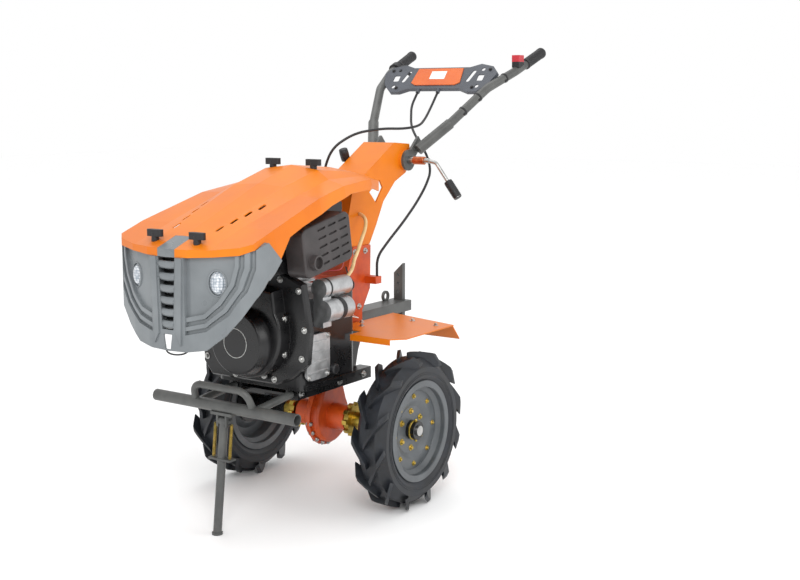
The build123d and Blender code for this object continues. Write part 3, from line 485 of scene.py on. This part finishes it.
fender_top_z, bed_side_x, bed_bolt_z = 515, 125, 369
for side in (1, -1):
    for x, y in ((84, -20), (84, 70), (120, 20), (300, 150), (200, 176)):
        add_bolt(bolts, mm(side * x, y, fender_top_z), UP, 9)
    for y in (-280, -100, 20):
        add_bolt(bolts, mm(side * bed_side_x, y, bed_bolt_z), (side, 0, 0), 11)
as_piece(bolts, "chassis_bolts", bright_zinc, "chassis")
print("chassis bolts placed")

# %% [markdown]
# ### Wheel bolts and hub pins
# Each wheel disc is bolted to its hub on an inner circle and to the rim's ring on
# an outer one. A locking pin crosses the hub near its end, beside a collar. Both
# circles differ only in their numbers, so a small table holds them.

# %% Wheel bolts
hub_circle = {"count": 6, "radius": 55, "x": 309, "start": 30, "flats": 10}
rim_circle = {"count": 8, "radius": 101, "x": 319, "start": 0, "flats": 8}
pin_x, pin_reach, collar_x = 327, 34, 318
for side, body in ((1, "wheel_left"), (-1, "wheel_right")):
    bolts = bmesh.new()
    for circle in (hub_circle, rim_circle):
        for step in range(circle["count"]):
            angle = math.radians(360 / circle["count"] * step + circle["start"])
            y = circle["radius"] * math.cos(angle)
            z = axle_height + circle["radius"] * math.sin(angle)
            add_bolt(bolts, mm(side * circle["x"], y, z), (side, 0, 0), circle["flats"])
    pin = aimed(mm(side * pin_x, 0, axle_height - pin_reach), UP)
    add_turning(bolts, [(3, 0), (4, 1), (4, 66), (3, 68)], 16, pin)
    collar = aimed(mm(side * collar_x, 0, axle_height), (side, 0, 0))
    add_turning(bolts, [(27, 0), (29.5, 1), (29.5, 5), (27, 6)], 48, collar)
    as_piece(bolts, body + "_bolts", yellow_zinc, body)
print("wheel bolts placed")

# %% [markdown]
# ## Bent wire and hose
# A wire or hose is a NURBS curve with a round section, because a few points give it
# an even bend, where a chain of short cylinders would show its joints. The curve is
# turned into a mesh at the end, so that it is measured like every other piece.


# %% Wire builder
def wire(name, points, radius_mm, material, body, steps=10, sides=4):
    """Round wire near the points given, smoothed by an order 3 spline, as a mesh."""
    data = bpy.data.curves.new(name, "CURVE")
    data.dimensions = "3D"
    data.bevel_depth = radius_mm / 1000
    data.bevel_resolution = sides
    data.resolution_u = steps
    data.use_fill_caps = True
    spline = data.splines.new("NURBS")
    spline.points.add(len(points) - 1)
    for spot, point in zip(spline.points, points):
        spot.co = (*mm(*point), 1)
    spline.order_u = 3
    spline.use_endpoint_u = True
    data.materials.append(material)
    swept = bpy.data.objects.new(name + "_path", data)
    bpy.context.scene.collection.objects.link(swept)
    bpy.context.view_layer.update()
    solid = bpy.data.meshes.new_from_object(
        swept.evaluated_get(bpy.context.evaluated_depsgraph_get())
    )
    bpy.data.objects.remove(swept)
    piece = bpy.data.objects.new(name, solid)
    bpy.context.scene.collection.objects.link(piece)
    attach(piece, body)
    return piece


print("wire builder ready")

# %% [markdown]
# ### Springs on the stand
# The two springs beside the stand are coils of zinc-plated wire 2 mm thick. The
# solids under them are plain rods, so the coils stand for those. Each is a helix of
# points swept like any other wire, twelve points to a turn.

# %% Coil springs
spring_r, spring_wire_r, spring_turns, turn_points = 3.9, 1.05, 30, 12
spring_x, (top_y, top_z), (bottom_y, bottom_z) = 29, (-464, 306), (-475, 213)
for side in (1, -1):
    coil = []
    for step in range(turn_points * spring_turns + 1):
        share = step / (turn_points * spring_turns)
        angle = 2 * math.pi * step / turn_points
        x = side * spring_x + spring_r * math.cos(angle)
        y = top_y + (bottom_y - top_y) * share + spring_r * math.sin(angle)
        coil.append((x, y, top_z + (bottom_z - top_z) * share))
    spring = wire(
        "stand_spring", coil, spring_wire_r, yellow_zinc, "stand", steps=2, sides=2
    )
    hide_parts("stand_springs")
print("springs wound")

# %% [markdown]
# ### Fuel hose and wiring
# A cream fuel hose runs from the neck down to the starter. A red wire passes over
# the starter, a black one leaves its rear end, and a thin white one runs behind the
# engine. All are soft PVC drawn through a die, which leaves a smooth skin with a
# narrow highlight along it.

# %% Hose and wires
hose_pvc, tree, shader = new_material("cream_pvc_fuel_hose", "#DDBE86", 0.35)
tone_and_grain(tree, shader, "#D3B278", "#E6CA97", 40, 1.0, 0.03, (0.3, 0.45))
red_pvc, tree, shader = new_material("red_pvc_wire", "#B32A32", 0.4)
tone_and_grain(tree, shader, "#A8242C", "#BF333B", 20, 1.0, 0.02, (0.35, 0.5))
white_pvc, tree, shader = new_material("white_pvc_wire", "#E9E7E1", 0.4)
tone_and_grain(tree, shader, "#E1DFD8", "#F0EEE9", 20, 1.0, 0.02, (0.35, 0.5))
hose_route = [
    (60, 96, 842), (86, 90, 836), (104, 66, 806), (112, 30, 770), (120, 2, 742),
    (128, -28, 720), (146, -60, 700), (160, -100, 686), (168, -136, 676),
]
red_route = [
    (150, -262, 700), (158, -210, 712), (168, -150, 706), (150, -110, 716),
    (120, -60, 740),
]
black_route = [
    (176, -140, 640), (182, -110, 646), (160, -70, 660), (110, -30, 668), (70, 10, 690),
]
white_route = [
    (150, -70, 560), (150, -40, 552), (130, -10, 545), (96, 20, 542), (64, 40, 545),
]
wire("fuel_hose", hose_route, 5.5, hose_pvc, "chassis")
wire("starter_wire", red_route, 1.6, red_pvc, "chassis")
wire("battery_wire", black_route, 2.4, black_pvc, "chassis")
wire("sensor_wire", white_route, 1.5, white_pvc, "chassis")
print("hose and wires laid")

# %% [markdown]
# ## Small forms
# These are the pieces that the solids leave plain, such as ribs on the grips and
# rings on the tyres' sidewalls. Many of them are bands: a closed profile is spun
# round an axis as before, but its last circle is joined to its first, which leaves
# the middle open.


# %% Bands
def add_band(mesh, profile, sides, matrix):
    """Spins a closed profile of (radius, height) in mm round the matrix's Z axis."""
    rings = spin(mesh, profile, sides, matrix)
    for low, high in zip(rings, rings[1:] + rings[:1]):
        skin(mesh, low, high)


def box_profile(inner_r, outer_r, low, high):
    """Rectangular section of a band, in mm."""
    return [(inner_r, low), (inner_r, high), (outer_r, high), (outer_r, low)]


print("section of a 2 mm band:", box_profile(166, 168, -0.5, 0.9))

# %% [markdown]
# ### Ribbed grips
# The grips are soft PVC with finger rings every 6 mm between two plain collars.
# They stand for the plain sleeves of the solids. A loop writes the profile rib by
# rib, so pitch and height stay easy to change.

# %% Grips
tube_end, tube_before = Vector((263, 878, 1343)), Vector((250, 720, 1278))
grip_length, rib_count, rib_pitch = 108, 14, 6
grip_aim = (tube_end - tube_before).normalized()
grip_base = tube_end - grip_aim * grip_length
grip_profile = [(15.2, 0), (18.3, 0.6), (18.5, 3), (18.3, 9), (16.4, 10)]
for rib in range(rib_count):
    start = 12 + rib_pitch * rib
    foot, crest = 16.4, 17.6
    grip_profile += [(foot, start), (crest, start + 1.2)]
    grip_profile += [(crest, start + 3.6), (foot, start + 4.8)]
grip_profile += [(16.6, 97), (18.4, 99), (18.4, grip_length), (16.5, 111.5), (10, 112)]
for side, node in ((1, "grip_left"), (-1, "grip_right")):
    grip = bmesh.new()
    base = mm(side * grip_base.x, grip_base.y, grip_base.z)
    aim = (side * grip_aim.x, grip_aim.y, grip_aim.z)
    add_turning(grip, grip_profile, 40, aimed(base, aim))
    piece = as_piece(grip, node + "_ribbed", black_pvc, "handlebar", smooth=True)
    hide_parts(node)
print("grips ribbed")

# %% [markdown]
# ### Sidewall rings
# The mould leaves two fine raised rings on each sidewall, outside the rim's edge.
# They are thin bands laid on the tyre, which keeps its own mesh as it is.

# %% Tyre rings
track_x, sidewall_half, ring_width = 302, 50, 2
for side, body in ((1, "wheel_left"), (-1, "wheel_right")):
    rings = bmesh.new()
    for face in (1, -1):
        place = mm(side * (track_x + face * sidewall_half), 0, axle_height)
        matrix = aimed(place, (side * face, 0, 0))
        for radius in (166, 171.5):
            section = box_profile(radius, radius + ring_width, -0.5, 0.9)
            add_band(rings, section, 120, matrix)
    as_piece(rings, body + "_sidewall_rings", tyre_rubber, body)
print("tyre rings made")

# %% [markdown]
# ### Lamp domes and the recoil starter's ring
# Each lamp's lens bulges 9 mm. Its outline is an oval, so a turned dome is scaled
# differently along its three axes. A thin pale ring is printed on the starter in
# flat ink. It is made as a band 0.4 mm high, because its edge has to stay crisp.

# %% Lamp domes and ring
pale_print, tree, shader = new_material("pale_screen_print", "#C9CBC8", 0.45)
tone_and_grain(tree, shader, "#BDBFBC", "#D3D5D2", 20, 1.0, 0.01, (0.4, 0.5))
lamp_x, lamp_y, lamp_z, lamp_tilt, lamp_face = 140, -626, 727, 0.35, 0.0041
half_width, half_height, bulge = 18.2, 26.2, 9
dome_profile = [
    (1, 0), (0.97, 0.22), (0.86, 0.5), (0.68, 0.74), (0.42, 0.92), (0.15, 1),
]
for side in (1, -1):
    normal = Vector((side * lamp_tilt, -math.sqrt(1 - lamp_tilt**2), 0))
    across = Vector((0, 0, 1)).cross(normal)
    lay = Matrix.Translation(mm(side * lamp_x, lamp_y, lamp_z) + normal * lamp_face)
    lay = lay @ Matrix((across, (0, 0, 1), normal)).transposed().to_4x4()
    dome = bmesh.new()
    scale = Matrix.Diagonal((half_width, half_height, bulge, 1))
    add_turning(dome, dome_profile, 48, lay @ scale)
    as_piece(dome, "lamp_dome", lamp_lens, "chassis", smooth=True)
starter_face = aimed(mm(10, -422, 524), FORWARD)
ring = bmesh.new()
add_band(ring, box_profile(39.6, 41.6, 0, 0.4), 96, starter_face)
as_piece(ring, "starter_ring", pale_print, "chassis")
print("lamps domed, starter ring laid")

# %% [markdown]
# ### Console fittings
# The console's insert carries a plain label of matt white vinyl, which hardly
# shines, and four black screws hold the console. It slopes, so its fittings are
# placed in its own plane. Plates are flat outlines, thickened along the normal.


# %% Console fittings
console_tilt, console_y, console_z = math.radians(50), 645, 1250


def console_point(across, up, out):
    """A point over the console: along it sideways, up its slope, and out of it."""
    c, s = math.cos(console_tilt), math.sin(console_tilt)
    return mm(across, console_y + up * c - out * s, console_z + up * s + out * c)


console_out = (0, -math.sin(console_tilt), math.cos(console_tilt))


def add_plate(mesh, corners, thickness, out):
    """Flat plate between corners, given in order, thickened along the way out."""
    lift = Vector(out) * thickness / 1000
    low = [mesh.verts.new(corner) for corner in corners]
    high = [mesh.verts.new(corner + lift) for corner in corners]
    mesh.faces.new(list(reversed(low)))
    mesh.faces.new(high)
    skin(mesh, low, high)


def rounded(width, height, radius, centre=(0, 0)):
    """Outline of a rectangle with round corners, in its own plane."""
    spots = []
    corner_steps = 6
    quarters = ((1, 1, 0), (-1, 1, 90), (-1, -1, 180), (1, -1, 270))
    for sx, sy, start in quarters:
        cx = centre[0] + sx * (width / 2 - radius)
        cy = centre[1] + sy * (height / 2 - radius)
        for step in range(corner_steps + 1):
            angle = math.radians(start + 90 * step / corner_steps)
            spots.append((cx + radius * math.cos(angle), cy + radius * math.sin(angle)))
    return spots


white_label, tree, shader = new_material("matt_white_vinyl_label", "#ECEBE8", 0.5)
tone_and_grain(tree, shader, "#E5E4E1", "#F2F1EE", 30, 1.0, 0.01, (0.45, 0.55))
insert_front, console_front = 17.1, 13.8
label = bmesh.new()
label_shape = rounded(60, 34, 2, (0, 8))
label_outline = [console_point(u, v, insert_front) for u, v in label_shape]
add_plate(label, label_outline, 0.4, console_out)
as_piece(label, "console_label", white_label, "handlebar")
screws = bmesh.new()
for u, v in ((-192, 32), (192, 32), (-150, -44), (150, -44)):
    add_bolt(screws, console_point(u, v, console_front), console_out, 7)
as_piece(screws, "console_screws", black_pvc, "handlebar")
print("console fitted")

# %% [markdown]
# ### Cable ties and the chin's loop
# Three black ties grip the left handle tube, each a band with a small block for its
# lock. They are placed by their share of the way between two bends of the tube. A
# short loop of black plastic wire hangs from the mask's chin.

# %% Cable ties and loop
ties = bmesh.new()
tie_section = box_profile(14.4, 16.2, -2.5, 2.5)
lock_profile = [(4, -3), (4.5, -2), (4.5, 3), (3.5, 4)]
lower_tube = (Vector((150, 470, 1109)), Vector((212, 600, 1222)))
upper_tube = (Vector((212, 600, 1222)), Vector((250, 720, 1278)))
tie_places = ((lower_tube, 0.35), (lower_tube, 0.75), (upper_tube, 0.6))
lock_offset = Vector((12, -10, -10))
for (start, end), share in tie_places:
    spot = start.lerp(end, share)
    add_band(ties, tie_section, 40, aimed(mm(*spot), end - start))
    add_turning(ties, lock_profile, 4, aimed(mm(*(spot + lock_offset)), end - start))
as_piece(ties, "cable_ties", black_pvc, "handlebar")
loop_route = [
    (-24, -652, 556), (-18, -658, 541), (4, -662, 535), (30, -658, 535),
    (52, -650, 542), (60, -642, 556),
]
wire("chin_loop", loop_route, 2.2, black_pvc, "chassis")
print("ties and loop made")

# %% [markdown]
# ### Grille louvres
# The grille is six rounded louvres between the mask's pillars, narrower towards
# the chin. Each is a skin over seven copies of one rounded section, the end ones
# smaller. A near-black rough plate stands behind them, inside the hollow mask, as
# painted shade: it makes the gaps between the louvres dark.

# %% Louvres
# The plate behind the louvres is painted shade for the hollow inside the mask.
grille_shade_black, tree, shader = new_material("dark_grille_shade_plate", "#141517", 0.6)
tone_and_grain(tree, shader, "#0E0F10", "#1B1C1E", 12, 1.2, 0.2, (0.5, 0.7))
grille_low_half, grille_high_half = 20, 30
fin_count, fin_low_z, fin_pitch = 6, 614, 31
shade_plate_y, louvre_y = -640.5, -655
shade_plate = bmesh.new()
shade_plate_corners = ((-29, 590), (29, 590), (35, 783), (-35, 783))
add_plate(shade_plate, [mm(x, shade_plate_y, z) for x, z in shade_plate_corners], 1.2, BACK)
as_piece(shade_plate, "grille_shade_plate", grille_shade_black, "chassis")

louvre_outline = [
    (-10, 0), (-10, -6), (-6, -11), (0, -13), (6, -12), (10, -8), (10, 0),
]
end_shrink, middle_sag = 0.72, 2.5
louvres = bmesh.new()
for index in range(fin_count):
    z = fin_low_z + fin_pitch * index
    rise = index / (fin_count - 1)
    half = grille_low_half + (grille_high_half - grille_low_half) * rise
    rows = []
    for share in (-1, -0.93, -0.5, 0, 0.5, 0.93, 1):
        size = end_shrink if abs(share) == 1 else 1.0
        row_z = z - middle_sag * (1 - share * share)
        row = [
            mm(share * half, louvre_y + size * y, row_z + size * dz)
            for dz, y in louvre_outline
        ]
        rows.append([louvres.verts.new(spot) for spot in row])
    for row, after in zip(rows, rows[1:]):
        skin(louvres, row, after)
    louvres.faces.new(rows[0])
    louvres.faces.new(list(reversed(rows[-1])))
as_piece(louvres, "grille_louvres", mask_abs, "chassis", smooth=True)
print("grille made")

# %% [markdown]
# ### Sleeves and knobs
# Black PVC sleeves cover the ends of the clamp lever and the gear lever, and a
# copper-plated spacer sits under the clamp lever's hub. All are turned, each along
# the line of its own rod. The copper plate is thin and a little dull, so it is a
# warm metal with a soft highlight.

# %% Sleeves
sleeve_outline = [(12.6, -1), (13.6, 1), (13.6, 59), (12, 61.4), (4, 62)]
pivot_y, pivot_z = 344, 995
clamp_start, clamp_end = Vector((221, pivot_y, 932)), Vector((258, pivot_y, 884))
clamp_aim = clamp_end - clamp_start
sleeve_ribs, first_rib = 8, 8
rib_section = box_profile(13.4, 14.2, -1.2, 1.2)
sleeves = bmesh.new()
add_turning(sleeves, sleeve_outline, 32, aimed(mm(*clamp_start), clamp_aim))
for rib in range(sleeve_ribs):
    spot = clamp_start + clamp_aim.normalized() * (first_rib + rib_pitch * rib)
    add_band(sleeves, rib_section, 32, aimed(mm(*spot), clamp_aim))
as_piece(sleeves, "clamp_lever_sleeve", black_pvc, "handlebar", smooth=True)

knob_start, knob_end = Vector((-75, 211, 996)), Vector((-75, 196, 1031))
knob = bmesh.new()
knob_outline = [(9, -1), (13.4, 1), (14.4, 10), (14.6, 26), (13.4, 38), (8, 39.4)]
add_turning(knob, knob_outline, 32, aimed(mm(*knob_start), knob_end - knob_start))
as_piece(knob, "gear_lever_knob", black_pvc, "chassis", smooth=True)

copper_plate, tree, shader = new_material(
    "copper_plated_steel", "#B5653F", 0.35, metallic=0.9
)
tone_and_grain(tree, shader, "#A65834", "#C4744E", 18, 1.0, 0.03, (0.3, 0.42))
spacer = bmesh.new()
spacer_profile = [(12.1, 4), (12.8, 5), (12.8, 43), (12.1, 44)]
add_turning(spacer, spacer_profile, 40, aimed(mm(90.4, pivot_y, pivot_z), LEFT))
as_piece(spacer, "clamp_lever_spacer", copper_plate, "handlebar")
print("sleeves fitted")

# %% [markdown]
# ### Stop switch and starter straps
# The switch has a red rocker on its black body: a plate whose upper edges are
# bevelled round, as a finger likes them. A wide black strap holds the starter's
# lower cylinder, and a narrow one its upper cylinder.

# %% Switch and straps
switch_x, switch_y, rocker_z, rocker_height = 251, 734, 1309, 22
rocker_shape = rounded(27.6, 35.6, 1.6)
rocker = bmesh.new()
rocker_low = [mm(switch_x + u, switch_y + v, rocker_z) for u, v in rocker_shape]
add_plate(rocker, rocker_low, rocker_height, UP)
rocker_middle = (rocker_z + rocker_height / 2) / 1000
bmesh.ops.bevel(
    rocker,
    geom=[e for e in rocker.edges if all(v.co.z > rocker_middle for v in e.verts)],
    offset=0.003,
    segments=3,
    affect="EDGES",
)
as_piece(rocker, "stop_switch_rocker", switch_red, "handlebar")
lower_cylinder = aimed(mm(190, -196, 606), BACK)
upper_cylinder = aimed(mm(178, -236, 668), BACK)
straps = bmesh.new()
add_band(straps, box_profile(30.9, 31.9, -9, 9), 48, lower_cylinder)
add_band(straps, box_profile(26.9, 27.8, -3, 3), 48, upper_cylinder)
as_piece(straps, "starter_straps", black_pvc, "chassis")
print("switch and straps fitted")

# %% [markdown]
# ### Side cover of the crankcase
# A die-cast cover with four stiffening ribs closes the crankcase on the silencer's
# side. It is a plate with round corners, and each rib is a slim plate on it, sunk a
# little so that no gap shows. The oil filler beside it has a faceted cap.

# %% Side cover
side_cover = bmesh.new()
case_face_x, cover_y, cover_z, cover_depth, rib_sink = 165.6, -262, 478, 9, 0.2
cover_shape = rounded(104, 128, 22)
cover_corners = [mm(case_face_x, cover_y + u, cover_z + v) for u, v in cover_shape]
add_plate(side_cover, cover_corners, cover_depth, LEFT)
rib_x, rib_shape = case_face_x + cover_depth - rib_sink, rounded(84, 5, 2.4)
for v in (-42, -14, 14, 42):
    rib = [mm(rib_x, cover_y + u, cover_z + v + w) for u, w in rib_shape]
    add_plate(side_cover, rib, 3.5, LEFT)
as_piece(side_cover, "crankcase_side_cover", cast_aluminium, "chassis")
cap = bmesh.new()
cap_outline = [(13, 0), (15, 1), (15, 11), (12, 14)]
filler = aimed(mm(174, -196, 432), LEFT)
add_turning(cap, cap_outline, 18, filler)
as_piece(cap, "oil_filler_cap", black_pvc, "chassis")
cover_bolts = bmesh.new()
for y, z in ((-306, 424), (-306, 532), (-218, 532), (-222, 424)):
    add_bolt(cover_bolts, mm(case_face_x + cover_depth, y, z), LEFT, 8)
as_piece(cover_bolts, "side_cover_bolts", bright_zinc, "chassis")
print("side cover fitted")

# %% [markdown]
# ### Control cables
# Both cables leave the console and end on the gearbox, so they cross the
# handlebar's pivot. Each is copied into a smooth-shaded mesh in the frame, and its
# solid is hidden. A rigid copy would leave one of them.

# %% Control cables
for node in ("clutch_cable", "shift_cable"):
    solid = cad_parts[node]
    data = solid.data.copy()
    data.transform(solid.matrix_world)
    cable = bpy.data.objects.new(node + "_sheath", data)
    bpy.context.scene.collection.objects.link(cable)
    for face in data.polygons:
        face.use_smooth = True
    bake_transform(cable)
    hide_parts(node)

# %% [markdown]
# ## The studio
# The floor and the world are white and the light is soft: a big key from the front
# left, a weaker fill from the left side and a top light that lifts the upper faces.
# The floor is a matt white backdrop, rough enough to show no reflection. It lies
# half a millimetre under the tyres, so that no two faces share one plane.

# %% Floor and lights
floor_gap = 0.0005
bpy.ops.mesh.primitive_plane_add(size=40, location=(0, 0, -floor_gap))
floor = bpy.context.active_object
floor.name = "studio_floor"
floor_paint, _, _ = new_material("matt_white_backdrop", "#FFFFFF", 0.95)
floor.data.materials.append(floor_paint)


def softbox(name, place, aim, size, power):
    """A square area light at a place, turned towards a point."""
    data = bpy.data.lights.new(name, "AREA")
    data.size = size
    data.energy = power
    lamp = bpy.data.objects.new(name, data)
    lamp.location = place
    direction = Vector(aim) - Vector(place)
    lamp.rotation_euler = direction.to_track_quat("-Z", "Y").to_euler()
    bpy.context.scene.collection.objects.link(lamp)


softbox("key_light", (2.6, -3.4, 3.2), (0, 0, 0.6), 1.8, 90)
softbox("fill_light", (4.4, 1.2, 2.2), (0, 0, 0.6), 2.0, 22)
softbox("top_light", (-1.0, 0.8, 4.4), (0, 0, 0.7), 2.2, 30)
world = bpy.context.scene.world or bpy.data.worlds.new("world")
bpy.context.scene.world = world
world.use_nodes = True
background = world.node_tree.nodes["Background"]
background.inputs["Color"].default_value = linear("#FFFFFF")
background.inputs["Strength"].default_value = 1.0
bpy.context.scene.view_settings.view_transform = "Standard"
print("studio set")
